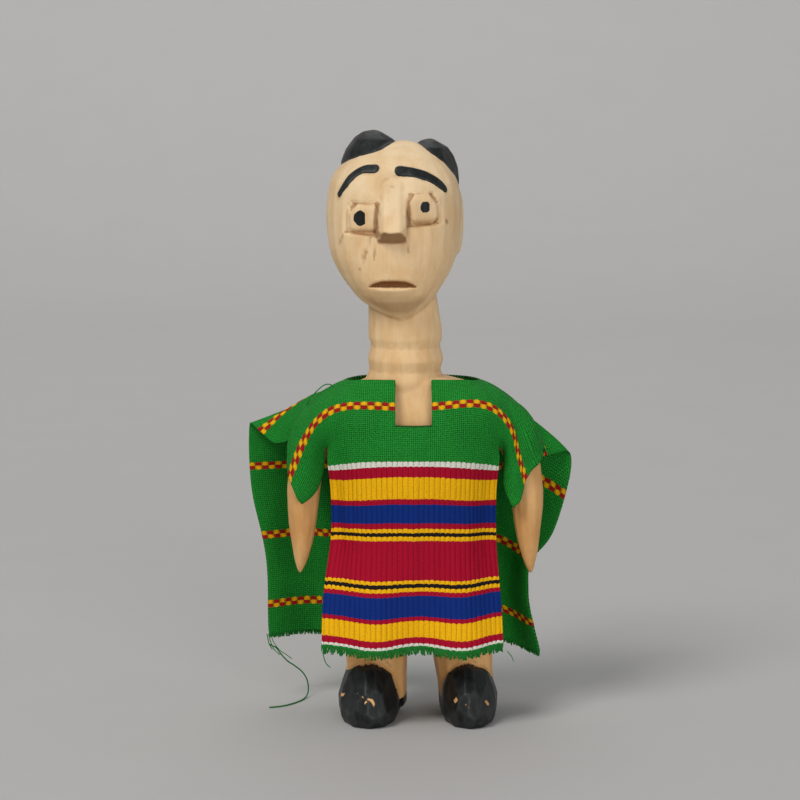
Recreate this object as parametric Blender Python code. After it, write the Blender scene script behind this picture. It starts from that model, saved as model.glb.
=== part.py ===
"""A small carved wooden man in a robe cut from one length of woven strip cloth.

Units are metres, +Z is up, the figure faces -Y and stands on Z = 0. The wooden figure is one carving, the robe
is one length of cloth with a neck slit, and one frayed thread hangs from the robe's back corner to the ground.
"""
import math

import bmesh
import bpy
import numpy as np
from mathutils import Matrix, Vector

# Driving sizes
FIGURE_HEIGHT = 0.2066
STRIP_WIDTH = 0.118
CLOTH_THICKNESS = 0.0009
CLOTH_CLEARANCE = 0.0016
FRONT_LENGTH = 0.0990
BACK_LENGTH = 0.0990
FRONT_PANEL_WIDTH = 0.0650
SLEEVE_DEPTH = 0.0250
NECK_SLIT_WIDTH = 0.0560
SLOT_WIDTH = 0.0123
SLOT_DEPTH = 0.0175
THREAD_DIAMETER = 0.0005

# The carving is written in millimetres at the size it was carved, and follows FIGURE_HEIGHT
CARVED_HEIGHT = 206.6
MM = FIGURE_HEIGHT / CARVED_HEIGHT

HEAD_POINTS = 24
BODY_POINTS = 20
LIMB_POINTS = 12
SHOE_POINTS = 12
CHEEK_DEPTH = 1.0
FACE_SQUARENESS = 2.3
BODY_SQUARENESS = 2.5

# Height, middle, half width, front, back
HEAD = [
    (142.8, -4.9, 4.0, -13.4, -3.0),
    (144.3, -5.3, 7.6, -15.6, 4.0),
    (147.8, -6.4, 12.2, -18.6, 12.0),
    (153.1, -7.0, 16.5, -21.8, 18.5),
    (159.7, -7.2, 20.4, -23.1, 22.5),
    (166.3, -7.4, 22.4, -23.5, 25.0),
    (176.1, -7.4, 23.5, -23.0, 26.5),
    (185.8, -7.3, 22.9, -21.2, 25.0),
    (191.4, -7.4, 20.9, -18.4, 21.5),
    (196.0, -6.9, 17.0, -14.6, 17.0),
    (199.7, -6.0, 11.4, -9.6, 11.5),
    (202.2, -5.0, 5.5, -4.0, 6.0),
    (203.0, -4.6, 1.4, -0.2, 2.2),
]
NECK = [
    (111.0, -3.5, 12.0, -10.0, 10.0),
    (117.0, -3.5, 14.6, -12.2, 12.2),
    (120.4, -3.5, 13.7, -12.8, 12.8),
    (123.6, -3.5, 12.4, -12.2, 12.2),
    (127.2, -3.3, 13.3, -13.1, 13.0),
    (131.9, -3.4, 12.1, -12.0, 12.0),
    (134.6, -3.4, 12.9, -12.7, 12.6),
    (140.0, -3.6, 12.6, -12.3, 12.4),
    (150.0, -4.5, 12.0, -12.0, 12.0),
]
TORSO = [
    (40.0, 1.2, 25.6, -14.0, 13.5),
    (44.0, 1.0, 27.8, -15.4, 15.0),
    (55.0, -0.2, 27.6, -16.0, 15.4),
    (67.0, -0.8, 25.6, -14.8, 14.4),
    (81.0, -0.8, 26.2, -15.0, 14.6),
    (95.0, -0.8, 28.4, -15.4, 15.0),
    (104.0, -0.5, 32.0, -15.2, 14.8),
    (110.0, -0.4, 33.4, -14.2, 14.0),
    (114.4, -0.4, 29.6, -12.8, 12.8),
    (117.4, -0.6, 23.6, -12.2, 12.2),
    (119.6, -1.4, 17.0, -11.8, 11.8),
    (121.2, -2.4, 12.0, -11.0, 11.0),
]
# Along the arm from inside the shoulder: outward, away from the front, height, half width, half depth
ARM = [
    (19.0, 0.5, 105.4, 9.4, 11.0),
    (28.5, 0.5, 104.2, 8.6, 9.6),
    (34.4, 0.4, 100.0, 7.2, 8.0),
    (37.4, 0.2, 91.5, 6.1, 6.8),
    (38.8, 0.0, 80.0, 5.8, 6.6),
    (38.9, 0.0, 69.0, 4.9, 5.7),
    (39.1, 0.0, 60.0, 3.4, 4.2),
    (39.4, 0.0, 54.2, 1.8, 2.4),
    (39.7, 0.0, 51.0, 0.5, 0.6),
]
ARM_TIP_SPREAD = {-1: -0.9, 1: 1.2}
# Each leg and shoe, by side: height, middle, half width, front, back
LEGS = {
    -1: [
        (46.0, -13.6, 11.6, -12.4, 12.0),
        (34.0, -13.6, 11.2, -12.0, 11.8),
        (22.0, -13.6, 10.9, -11.4, 11.4),
        (12.0, -13.2, 10.4, -10.6, 11.0),
        (4.0, -13.0, 10.2, -10.2, 10.8),
    ],
    1: [
        (46.0, 16.4, 11.3, -12.4, 12.0),
        (34.0, 16.5, 11.0, -12.0, 11.8),
        (22.0, 16.9, 10.6, -11.4, 11.4),
        (12.0, 17.8, 9.8, -10.6, 11.0),
        (4.0, 18.2, 9.6, -10.2, 10.8),
    ],
}
SHOE = [
    (0.0, 0.0, 9.9, -22.4, 12.4),
    (2.4, 0.0, 11.0, -24.4, 13.4),
    (7.4, 0.0, 11.3, -24.8, 13.6),
    (12.4, -0.2, 10.6, -22.8, 12.6),
    (16.8, -0.4, 8.7, -19.4, 4.0),
    (20.0, -0.6, 5.6, -15.6, -3.0),
    (21.4, -0.8, 2.0, -12.4, -8.0),
]
SHOE_MIDDLE = {-1: -16.1, 1: 19.05}
SHOE_WIDTH_SHARE = {-1: 1.0, 1: 0.925}
HEEL_SHIFT = {-1: 2.6, 1: -0.8}

# Face: the wedge of the nose, by height: left edge, ridge, right edge, how far the ridge stands out
NOSE = [
    (191.0, -9.8, -8.4, -6.6, 0.6),
    (186.0, -12.2, -8.8, -4.4, 2.6),
    (179.5, -12.7, -9.2, -3.2, 4.8),
    (173.2, -13.0, -9.3, -3.0, 7.0),
    (170.2, -12.9, -8.6, -3.4, 1.8),
]
NOSE_ROOT_DEPTH = -18.0
NOSE_FACE_DEPTH = -23.0
# Eyes, by side: middle across, depth of the ball's face, height, turn outwards in degrees
EYES = {-1: (-18.6, -20.4, 177.6, -24.0), 1: (3.7, -20.6, 180.7, 22.0)}
EYE_SIZE = (10.6, 5.0, 8.6)
SOCKET_SIZE = (13.6, 6.0, 10.8)
SOCKET_OUT = 1.6
MOUTH_MIDDLE = (-7.6, -21.6, 154.2)
MOUTH_WIDTH = 16.0
MOUTH_HEIGHT = 2.6
MOUTH_DEPTH = 2.4
# Hair lobes: middle, half sizes, turn about the vertical in degrees
HAIR_LOBES = [
    ((-14.6, 7.0, 190.6), (11.6, 16.5, 16.0), 12.0),
    ((5.2, 8.0, 188.6), (10.2, 16.0, 14.8), -10.0),
]
# Ears: middle, half sizes
EARS = [
    ((-28.6, 9.0, 174.0), (2.2, 4.6, 10.5)),
    ((15.2, 3.0, 174.6), (1.7, 4.4, 11.6)),
]

# The cloth lies in rows across its width. A row gives its place along the cloth from the shoulder line, its
# height at the middle, how steeply it falls and how far back it lies, at ROW_KNOTS from the middle outwards.
ROW_KNOTS = (0.0, 20.0, 30.0, 40.0, 59.0)
FRONT_ROWS = {
    -1: [
        (0.0, 121.5, (0, 7, 22, 44, 76), (-14.2, -8.5, -1.0, 0.5, 2.0)),
        (12.5, 112.6, (0, 4, 30, 58, 72), (-17.2, -16.4, -13.5, -11.5, -9.0)),
        (18.8, 106.4, (0, 3, 36, 72, 56), (-18.2, -16.8, -13.2, -9.8, -10.2)),
        (25.0, 100.2, (0, 2, 30, 84, 22), (-18.8, -15.8, -11.0, -5.0, -8.8)),
        (34.0, 91.6, (0, 1, 2, 2, 2), (-19.3, -14.8, -9.1, -7.5, -7.5)),
        (62.0, 63.6, (0, 0, 0, 0, 0), (-19.4, -14.0, -7.6, -6.0, -6.0)),
        (82.0, 43.8, (0, 0, 0, 0, 0), (-21.0, -20.0, -16.2, -13.0, -13.0)),
        (99.0, 27.0, (0, 0, -1, -1, -1), (-22.5, -23.4, -21.0, -19.0, -19.0)),
    ],
    1: [
        (0.0, 121.5, (0, 8, 24, 50, 76), (-14.2, -8.5, -1.0, 0.5, 2.0)),
        (12.5, 112.6, (0, 2, 38, 70, 72), (-17.2, -16.4, -13.5, -10.5, -7.0)),
        (18.8, 106.4, (0, 2, 40, 78, 64), (-18.2, -16.8, -13.2, -9.5, -9.6)),
        (25.0, 100.2, (0, 2, 30, 86, 50), (-18.8, -15.8, -11.0, -4.6, -8.4)),
        (34.0, 91.6, (0, 1, 2, 2, 2), (-19.3, -14.8, -9.1, -7.5, -7.5)),
        (62.0, 63.6, (0, 0, 0, 0, 0), (-19.4, -14.0, -7.6, -6.0, -6.0)),
        (82.0, 43.8, (0, 0, 0, 0, 0), (-21.0, -18.4, -13.2, -10.0, -10.0)),
        (99.0, 27.0, (0, 0, -2, -2, -2), (-22.5, -23.0, -19.0, -17.0, -17.0)),
    ],
}
BACK_ROWS = {
    -1: [
        (0.0, 121.5, (0, 7, 22, 44, 76), (14.2, 9.5, 0.5, 0.5, 2.0)),
        (-6.0, 118.0, (0, 6, 20, 40, 62), (16.4, 12.4, 9.6, 9.0, 9.0)),
        (-12.5, 112.0, (0, -4, 4, 28, 42), (17.6, 15.5, 13.6, 12.4, 11.5)),
        (-18.0, 106.8, (0, -4, 2, 10, 20), (18.6, 17.4, 16.4, 15.6, 15.0)),
        (-25.0, 99.6, (0, 0, 1, 4, 8), (19.4, 18.8, 18.4, 17.6, 17.0)),
        (-37.5, 86.6, (0, 0, 0, 1, 2), (20.2, 20.4, 20.0, 21.0, 18.5)),
        (-62.5, 61.4, (0, 0, 1, 1, 1), (21.0, 25.5, 20.5, 24.5, 18.5)),
        (-99.0, 24.4, (0, 0, 1, 1, 1), (21.0, 27.0, 21.0, 26.0, 20.0)),
    ],
    1: [
        (0.0, 121.5, (0, 8, 24, 50, 76), (14.2, 9.5, 0.5, 0.5, 2.0)),
        (-6.0, 118.0, (0, 7, 20, 44, 76), (16.4, 12.4, 9.6, 8.4, 7.0)),
        (-12.5, 112.0, (0, -1, 13, 44, 84), (17.6, 15.5, 13.2, 12.4, 12.0)),
        (-18.0, 106.8, (0, 0, 2, 24, 66), (18.6, 17.4, 15.4, 14.2, 13.6)),
        (-25.0, 99.6, (0, 0, 0, 8, 50), (19.4, 18.6, 17.4, 16.6, 15.0)),
        (-37.5, 86.6, (0, 1, 5, 20, 34), (20.2, 23.0, 20.0, 22.0, 16.5)),
        (-50.0, 74.0, (0, 2, 8, 24, 34), (20.6, 26.0, 21.0, 25.0, 17.0)),
        (-62.5, 61.4, (0, 3, 10, 22, 28), (21.0, 28.0, 20.5, 27.0, 16.0)),
        (-75.0, 48.6, (0, 4, 10, 18, 20), (21.0, 28.5, 20.5, 27.0, 15.0)),
        (-99.0, 24.4, (0, 5, 11, 13, 8), (21.0, 28.5, 21.5, 26.5, 15.0)),
    ],
}
CLOTH_MIDDLE_X = -0.6
STEEPEST = 0.93
WALK_STEP = 0.5
# Cells of the cloth across one half, from the middle outwards, and along it
SLOT_CELLS = 1
NECK_CELLS = 5
PANEL_EDGE_CELLS = 1
SLEEVE_CELLS = 5
BACK_CELLS = 12
BACK_SHOULDER_CELLS = 7
SLOT_ROW_CELLS = 4
SLEEVE_ROW_CELLS = 2
PANEL_ROW_CELLS = 11
SHOULDER_BACK = 0.025

# The frayed thread's route, from the robe's back corner down to the ground, in millimetres
THREAD_ROUTE = [
    (-52.6, 21.0, 20.4),
    (-51.2, 21.2, 19.6),
    (-50.0, 21.4, 18.9),
    (-47.9, 21.8, 16.0),
    (-46.0, 22.4, 13.8),
    (-43.8, 23.2, 12.1),
    (-41.0, 24.2, 9.6),
    (-39.3, 25.0, 6.8),
    (-38.6, 25.3, 3.6),
    (-38.9, 24.0, 1.1),
    (-39.9, 20.4, 0.45),
    (-41.6, 16.5, 0.35),
    (-44.8, 11.8, 0.35),
    (-48.4, 8.8, 0.35),
    (-52.0, 7.4, 0.35),
]


def clear_scene():
    for obj in list(bpy.data.objects):
        bpy.data.objects.remove(obj)


def material(name, colour, roughness, metallic=0.0):
    made = bpy.data.materials.new(name)
    made.use_nodes = True
    shader = made.node_tree.nodes["Principled BSDF"]
    shader.inputs["Base Color"].default_value = (*colour, 1.0)
    shader.inputs["Roughness"].default_value = roughness
    shader.inputs["Metallic"].default_value = metallic
    return made


def new_object(name, mesh, finish):
    obj = bpy.data.objects.new(name, mesh)
    bpy.context.collection.objects.link(obj)
    mesh.materials.append(finish)
    return obj


def through(stations, steps):
    """Rows of one smooth curve through the stations, with `steps` rows to each span."""
    rows = [np.array(station, float) for station in stations]
    rows = [2 * rows[0] - rows[1], *rows, 2 * rows[-1] - rows[-2]]
    curve = []
    for before, start, end, after in zip(rows, rows[1:], rows[2:], rows[3:]):
        for step in range(steps):
            u = step / steps
            curve.append(0.5 * (
                2 * start
                + (end - before) * u
                + (2 * before - 5 * start + 4 * end - after) * u ** 2
                + (3 * start - before - 3 * end + after) * u ** 3
            ))
    curve.append(rows[-2])
    return curve


def signed_power(value, power):
    return math.copysign(abs(value) ** power, value)


def oval(middle, half_width, front, back, height, squareness, count):
    """A level ring of points, wider at CHEEK_DEPTH, that reaches from front to back."""
    ring = []
    for k in range(count):
        angle = 2 * math.pi * k / count
        across = signed_power(math.cos(angle), 2 / squareness)
        along = signed_power(math.sin(angle), 2 / squareness)
        reach = back - CHEEK_DEPTH if along > 0 else CHEEK_DEPTH - front
        ring.append(Vector((middle + half_width * across, CHEEK_DEPTH + reach * along, height)) * MM)
    return ring


def skin(name, rings, finish):
    """A closed body through rings of equally many points, with a flat face at each end."""
    mesh = bpy.data.meshes.new(name)
    shape = bmesh.new()
    loops = [[shape.verts.new(point) for point in ring] for ring in rings]
    count = len(loops[0])
    for low, high in zip(loops, loops[1:]):
        for k in range(count):
            following = (k + 1) % count
            shape.faces.new((low[k], low[following], high[following], high[k]))
    shape.faces.new(reversed(loops[0]))
    shape.faces.new(loops[-1])
    bmesh.ops.recalc_face_normals(shape, faces=shape.faces)
    shape.to_mesh(mesh)
    shape.free()
    return new_object(name, mesh, finish)


def level_body(name, stations, steps, squareness, count, finish):
    rings = [
        oval(middle, half_width, front, back, height, squareness, count)
        for height, middle, half_width, front, back in through(stations, steps)
    ]
    return skin(name, rings, finish)


def arm(name, side, finish):
    """A tapering peg that bends down out of the shoulder to a point, with no hand."""
    rows = through(ARM, 2)
    tip_height = rows[-1][2]
    top_height = rows[0][2]
    rings = []
    for k, (outward, depth, height, half_width, half_depth) in enumerate(rows):
        before = rows[max(k - 1, 0)]
        after = rows[min(k + 1, len(rows) - 1)]
        lean = math.atan2(after[0] - before[0], before[2] - after[2])
        spread = ARM_TIP_SPREAD[side] * (top_height - height) / (top_height - tip_height)
        ring = []
        for step in range(LIMB_POINTS):
            angle = 2 * math.pi * step / LIMB_POINTS
            offset = half_width * math.cos(angle)
            x = outward + spread * side + offset * math.cos(lean)
            z = height + offset * math.sin(lean)
            ring.append(Vector((side * x, depth + half_depth * math.sin(angle), z)) * MM)
        rings.append(ring)
    return skin(name, rings, finish)


def shoe(name, side, finish):
    """A knife-cut shoe: few wide facets, a bulging toe and a flat sole."""
    rings = []
    for height, middle, half_width, front, back in SHOE:
        ring = oval(0.0, half_width * SHOE_WIDTH_SHARE[side], front, back, height, FACE_SQUARENESS, SHOE_POINTS)
        for point in ring:
            heel_share = max(0.0, min(1.0, point.y / (SHOE[2][4] * MM)))
            point.x += (SHOE_MIDDLE[side] + middle * side + HEEL_SHIFT[side] * heel_share) * MM
        rings.append(ring)
    return skin(name, rings, finish)


def block(name, middle, size, turn, finish, rounding=0.0):
    """A box turned about the vertical, with its front edges rounded."""
    mesh = bpy.data.meshes.new(name)
    shape = bmesh.new()
    place = Matrix.Translation(Vector(middle) * MM) @ Matrix.Rotation(math.radians(turn), 4, "Z")
    grow = Matrix.Diagonal((*[length * MM for length in size], 1.0))
    bmesh.ops.create_cube(shape, size=1.0, matrix=place @ grow)
    if rounding:
        bmesh.ops.bevel(shape, geom=shape.edges[:], offset=rounding * MM, segments=2, profile=0.6,
                        affect="EDGES")
    shape.to_mesh(mesh)
    shape.free()
    return new_object(name, mesh, finish)


def ball(name, middle, half_sizes, turn, finish, points=16):
    mesh = bpy.data.meshes.new(name)
    shape = bmesh.new()
    place = Matrix.Translation(Vector(middle) * MM) @ Matrix.Rotation(math.radians(turn), 4, "Z")
    grow = Matrix.Diagonal((*[length * MM for length in half_sizes], 1.0))
    bmesh.ops.create_uvsphere(shape, u_segments=points, v_segments=points // 2 + 2, radius=1.0,
                              matrix=place @ grow)
    shape.to_mesh(mesh)
    shape.free()
    return new_object(name, mesh, finish)


def nose(name, finish):
    rings = []
    for height, left, ridge, right, out in NOSE:
        profile = [
            (left, NOSE_ROOT_DEPTH),
            (left, NOSE_FACE_DEPTH - 0.25 * out),
            (0.7 * left + 0.3 * ridge, NOSE_FACE_DEPTH - 0.8 * out),
            (ridge, NOSE_FACE_DEPTH - out),
            (0.55 * right + 0.45 * ridge, NOSE_FACE_DEPTH - 0.72 * out),
            (right, NOSE_FACE_DEPTH - 0.2 * out),
            (right, NOSE_ROOT_DEPTH),
        ]
        rings.append([Vector((x, y, height)) * MM for x, y in profile])
    return skin(name, rings, finish)


def mouth_notch(name, finish):
    """A wedge with a level top and a rising floor, as two knife cuts leave it."""
    x, y, z = MOUTH_MIDDLE
    rings = []
    for side in (-1, 1):
        across = x + side * MOUTH_WIDTH / 2
        rings.append([
            Vector((across, y - MOUTH_DEPTH * 2, z - MOUTH_HEIGHT * 0.2)) * MM,
            Vector((across - side * 1.6, y + MOUTH_DEPTH * 0.8, z + MOUTH_HEIGHT * 0.75)) * MM,
            Vector((across - side * 0.8, y - MOUTH_DEPTH * 2, z + MOUTH_HEIGHT)) * MM,
        ])
    return skin(name, rings, finish)


def combine(base, tool, operation):
    """Applies one exact Boolean of the tool to the base and deletes the tool."""
    cut = base.modifiers.new(tool.name, "BOOLEAN")
    cut.operation = operation
    cut.solver = "EXACT"
    cut.object = tool
    evaluated = base.evaluated_get(bpy.context.evaluated_depsgraph_get())
    joined = bpy.data.meshes.new_from_object(evaluated)
    base.modifiers.remove(cut)
    old = base.data
    base.data = joined
    bpy.data.meshes.remove(old)
    bpy.data.objects.remove(tool)


def carved_figure(finish):
    figure = level_body("carved_figure", TORSO, 2, BODY_SQUARENESS, BODY_POINTS, finish)
    for side in (-1, 1):
        combine(figure, arm("arm", side, finish), "UNION")
        combine(figure, level_body("leg", LEGS[side], 1, FACE_SQUARENESS, LIMB_POINTS, finish), "UNION")
        combine(figure, shoe("shoe", side, finish), "UNION")
    combine(figure, level_body("neck", NECK, 2, 2.0, BODY_POINTS, finish), "UNION")
    head = level_body("head", HEAD, 2, FACE_SQUARENESS, HEAD_POINTS, finish)
    for middle, half_sizes in EARS:
        combine(head, ball("ear", middle, half_sizes, 0.0, finish, 10), "UNION")
    for side in (-1, 1):
        x, y, z, turn = EYES[side]
        outward = Matrix.Rotation(math.radians(turn), 3, "Z") @ Vector((0.0, -1.0, 0.0))
        socket_middle = Vector((x, y, z)) + outward * (SOCKET_SIZE[1] / 2 - SOCKET_OUT)
        ball_middle = Vector((x, y, z)) - outward * (EYE_SIZE[1] / 2)
        combine(head, block("socket", socket_middle, SOCKET_SIZE, turn, finish, 1.0), "DIFFERENCE")
        combine(head, block("eye", ball_middle, EYE_SIZE, turn, finish, 1.4), "UNION")
    combine(head, nose("nose", finish), "UNION")
    combine(head, mouth_notch("mouth", finish), "DIFFERENCE")
    for middle, half_sizes, turn in HAIR_LOBES:
        combine(head, ball("hair", middle, half_sizes, turn, finish), "UNION")
    combine(figure, head, "UNION")
    return figure


def smooth_between(place, knots, values):
    """A smooth curve through values at uneven knots, read at one place."""
    knots = np.array(knots, float)
    values = np.array(values, float)
    slopes = np.gradient(values, knots, axis=0)
    k = int(np.clip(np.searchsorted(knots, place) - 1, 0, len(knots) - 2))
    span = knots[k + 1] - knots[k]
    u = np.clip((place - knots[k]) / span, 0.0, 1.0)
    return (
        values[k] * (1 + 2 * u) * (1 - u) ** 2
        + slopes[k] * span * u * (1 - u) ** 2
        + values[k + 1] * u ** 2 * (3 - 2 * u)
        + slopes[k + 1] * span * u ** 2 * (u - 1)
    )


def row_at(along, side, front):
    """The settings of the cloth's row at one place along it."""
    rows = FRONT_ROWS[side] if front else list(reversed(BACK_ROWS[side]))
    knots = [row[0] for row in rows]
    table = [(row[1], *row[2], *row[3]) for row in rows]
    values = smooth_between(along, knots, table)
    return values[0], values[1:6], values[6:11]


def cloth_point(across, along, front):
    """Where a point of the flat cloth hangs: it walks out along its row without stretching it."""
    side = -1 if across < 0 else 1
    height, falls, depths = row_at(along, side, front)
    reach = abs(across)
    x = 0.0
    z = height
    y = depths[0]
    steps = math.ceil(reach / WALK_STEP)
    length = reach / max(steps, 1)
    for k in range(steps):
        fall = math.radians(smooth_between((k + 0.5) * length, ROW_KNOTS, falls))
        ahead = smooth_between((k + 1) * length, ROW_KNOTS, depths)
        turn = max(-STEEPEST, min(STEEPEST, (ahead - y) / length))
        level = math.sqrt(1 - turn ** 2)
        x += length * level * math.cos(fall)
        z -= length * level * math.sin(fall)
        y += length * turn
    return Vector((CLOTH_MIDDLE_X + side * x, y, z)) * MM


def spread(stops, cells):
    """Places that run through the stops with so many cells between each two of them."""
    places = [stops[0]]
    for start, end, count in zip(stops, stops[1:], cells):
        places += [start + (end - start) * (k + 1) / count for k in range(count)]
    return places


def robe(body, finish):
    """One strip laid over the shoulders: slit for the neck, slotted in front, its front cut to a panel."""
    half = STRIP_WIDTH / 2 / MM
    panel = FRONT_PANEL_WIDTH / 2 / MM
    neck = NECK_SLIT_WIDTH / 2 / MM
    slot = SLOT_WIDTH / 2 / MM
    slot_end = SLOT_DEPTH / MM
    sleeve_end = SLEEVE_DEPTH / MM
    outward = spread([0.0, slot, neck, panel, half], [SLOT_CELLS, NECK_CELLS, PANEL_EDGE_CELLS, SLEEVE_CELLS])
    columns = [-place for place in reversed(outward[1:])] + outward
    back_rows = spread([-BACK_LENGTH / MM, -SHOULDER_BACK / MM, 0.0], [BACK_CELLS, BACK_SHOULDER_CELLS])
    front_rows = spread([0.0, slot_end, sleeve_end, FRONT_LENGTH / MM],
                        [SLOT_ROW_CELLS, SLEEVE_ROW_CELLS, PANEL_ROW_CELLS])
    shape = bmesh.new()
    corners = {}

    def corner(across, along, front):
        shared = along == 0.0 and abs(across) >= neck
        key = (across, along, front or shared)
        if key not in corners:
            corners[key] = shape.verts.new(cloth_point(across, along, front or shared))
        return corners[key]

    for front, rows in ((False, back_rows), (True, front_rows)):
        for low, high in zip(rows, rows[1:]):
            for left, right in zip(columns, columns[1:]):
                middle = abs(left + right) / 2
                in_slot = front and middle < slot and low < slot_end
                cut_away = front and middle > panel and low >= sleeve_end
                if in_slot or cut_away:
                    continue
                shape.faces.new([corner(left, low, front), corner(right, low, front),
                                 corner(right, high, front), corner(left, high, front)])
    bmesh.ops.recalc_face_normals(shape, faces=shape.faces)
    mesh = bpy.data.meshes.new("robe")
    shape.to_mesh(mesh)
    shape.free()
    cloth = new_object("robe", mesh, finish)
    keep_off = cloth.modifiers.new("off the wood", "SHRINKWRAP")
    keep_off.target = body
    keep_off.wrap_method = "NEAREST_SURFACEPOINT"
    keep_off.wrap_mode = "OUTSIDE"
    keep_off.offset = CLOTH_CLEARANCE + CLOTH_THICKNESS / 2
    thicken = cloth.modifiers.new("cloth", "SOLIDIFY")
    thicken.thickness = CLOTH_THICKNESS
    thicken.offset = 0.0
    return cloth


def loose_thread(finish):
    line = bpy.data.curves.new("loose_thread", "CURVE")
    line.dimensions = "3D"
    points = through(THREAD_ROUTE, 3)
    spline = line.splines.new("POLY")
    spline.points.add(len(points) - 1)
    for place, point in zip(spline.points, points):
        place.co = (*(point * MM), 1.0)
    line.bevel_depth = THREAD_DIAMETER / 2
    line.bevel_resolution = 2
    line.use_fill_caps = True
    return new_object("loose_thread", line, finish)


def stand_on_origin(held, moved):
    """Moves all pieces so that the held ones stand on Z = 0 with their box centred on the origin."""
    graph = bpy.context.evaluated_depsgraph_get()
    corners = []
    for obj in held:
        mesh = obj.evaluated_get(graph).to_mesh()
        corners += [np.array(vertex.co) for vertex in mesh.vertices]
    low = np.min(corners, axis=0)
    high = np.max(corners, axis=0)
    shift = Vector((-(low[0] + high[0]) / 2, -(low[1] + high[1]) / 2, -low[2]))
    for obj in moved:
        obj.data.transform(Matrix.Translation(shift))


def main():
    clear_scene()
    wood = material("pale carved wood", (0.72, 0.52, 0.33), 0.6)
    cloth = material("green strip cloth", (0.02, 0.28, 0.05), 0.9)
    thread = material("green thread", (0.03, 0.25, 0.08), 0.9)
    figure = carved_figure(wood)
    pieces = [figure, robe(figure, cloth)]
    stand_on_origin(pieces, [*pieces, loose_thread(thread)])


main()
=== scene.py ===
"""The look of a carved wooden man in a woven robe: painted wood, striped cloth, a loose green thread."""
import itertools
import math

import bmesh
import bpy
import numpy as np
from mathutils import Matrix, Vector, noise


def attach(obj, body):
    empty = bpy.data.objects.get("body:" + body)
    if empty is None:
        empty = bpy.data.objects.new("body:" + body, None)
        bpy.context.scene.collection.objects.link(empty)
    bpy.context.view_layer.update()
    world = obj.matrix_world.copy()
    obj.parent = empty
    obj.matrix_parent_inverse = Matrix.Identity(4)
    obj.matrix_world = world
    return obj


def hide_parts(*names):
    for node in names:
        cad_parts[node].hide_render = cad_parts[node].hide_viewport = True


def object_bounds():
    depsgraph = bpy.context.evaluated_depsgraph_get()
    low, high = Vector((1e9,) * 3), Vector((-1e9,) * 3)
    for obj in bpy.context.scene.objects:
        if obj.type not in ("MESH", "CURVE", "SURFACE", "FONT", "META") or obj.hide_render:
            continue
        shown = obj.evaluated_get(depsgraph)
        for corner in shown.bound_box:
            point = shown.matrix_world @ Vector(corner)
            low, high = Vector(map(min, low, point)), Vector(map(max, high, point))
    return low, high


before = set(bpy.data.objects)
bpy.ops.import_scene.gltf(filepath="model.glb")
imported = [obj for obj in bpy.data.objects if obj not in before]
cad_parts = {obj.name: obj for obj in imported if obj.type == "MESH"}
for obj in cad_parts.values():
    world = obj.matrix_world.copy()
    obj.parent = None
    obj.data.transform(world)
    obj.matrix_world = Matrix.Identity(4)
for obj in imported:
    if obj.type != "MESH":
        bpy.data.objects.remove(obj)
CAD_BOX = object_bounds()

# Places are in millimetres from the middle of the figure's feet, X to its left, Y to its back
CARVED_HEIGHT = 206.6
MM = (CAD_BOX[1].z - CAD_BOX[0].z) / CARVED_HEIGHT
FEET_MIDDLE = Vector((1.793, 0.348, 0.0)) * MM


def place(point):
    """A point given in millimetres, as a place in the frame."""
    return Vector(point) * MM + FEET_MIDDLE


# Camera, light and floor
CAMERA_AIM = (-5.25, 0.0, 112.5)
CAMERA_DISTANCE = 1.0
CAMERA_ELEVATION = math.radians(8.0)
CAMERA_LENS = 128.57
SENSOR_WIDTH = 36.0


def toward(obj, target):
    """Turn a camera or a lamp to face a place."""
    obj.rotation_euler = (target - obj.location).to_track_quat("-Z", "Y").to_euler()


def photo_camera():
    data = bpy.data.cameras.new("camera")
    data.lens = CAMERA_LENS
    data.sensor_width = SENSOR_WIDTH
    data.clip_start = 0.05
    camera = bpy.data.objects.new("camera", data)
    aim = place(CAMERA_AIM)
    back = Vector((0.0, -math.cos(CAMERA_ELEVATION), math.sin(CAMERA_ELEVATION)))
    camera.location = aim + back * CAMERA_DISTANCE
    toward(camera, aim)
    bpy.context.collection.objects.link(camera)
    bpy.context.scene.camera = camera


def soft_lamp(name, at, width, power, colour, target=(0.0, 0.0, 0.10)):
    data = bpy.data.lights.new(name, "AREA")
    data.shape = "DISK"
    data.size = width
    data.energy = power
    data.color = colour
    lamp = bpy.data.objects.new(name, data)
    lamp.location = at
    toward(lamp, Vector(target))
    bpy.context.collection.objects.link(lamp)


def studio():
    soft_lamp("key_lamp", (-1.5, -1.7, 2.9), 1.5, 64.0, (1.0, 0.985, 0.96))
    soft_lamp("fill_lamp", (1.0, -2.8, 0.5), 1.5, 30.0, (0.97, 0.98, 1.0))
    soft_lamp("paper_lamp", (0.0, 1.3, 1.7), 1.4, 7.0, (1.0, 1.0, 1.0), target=(0.0, 1.7, 0.1))
    world = bpy.data.worlds.new("studio")
    world.use_nodes = True
    world.node_tree.nodes["Background"].inputs["Color"].default_value = (0.93, 0.95, 1.0, 1.0)
    world.node_tree.nodes["Background"].inputs["Strength"].default_value = 0.38
    bpy.context.scene.world = world
    bpy.context.scene.view_settings.view_transform = "Standard"


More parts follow.
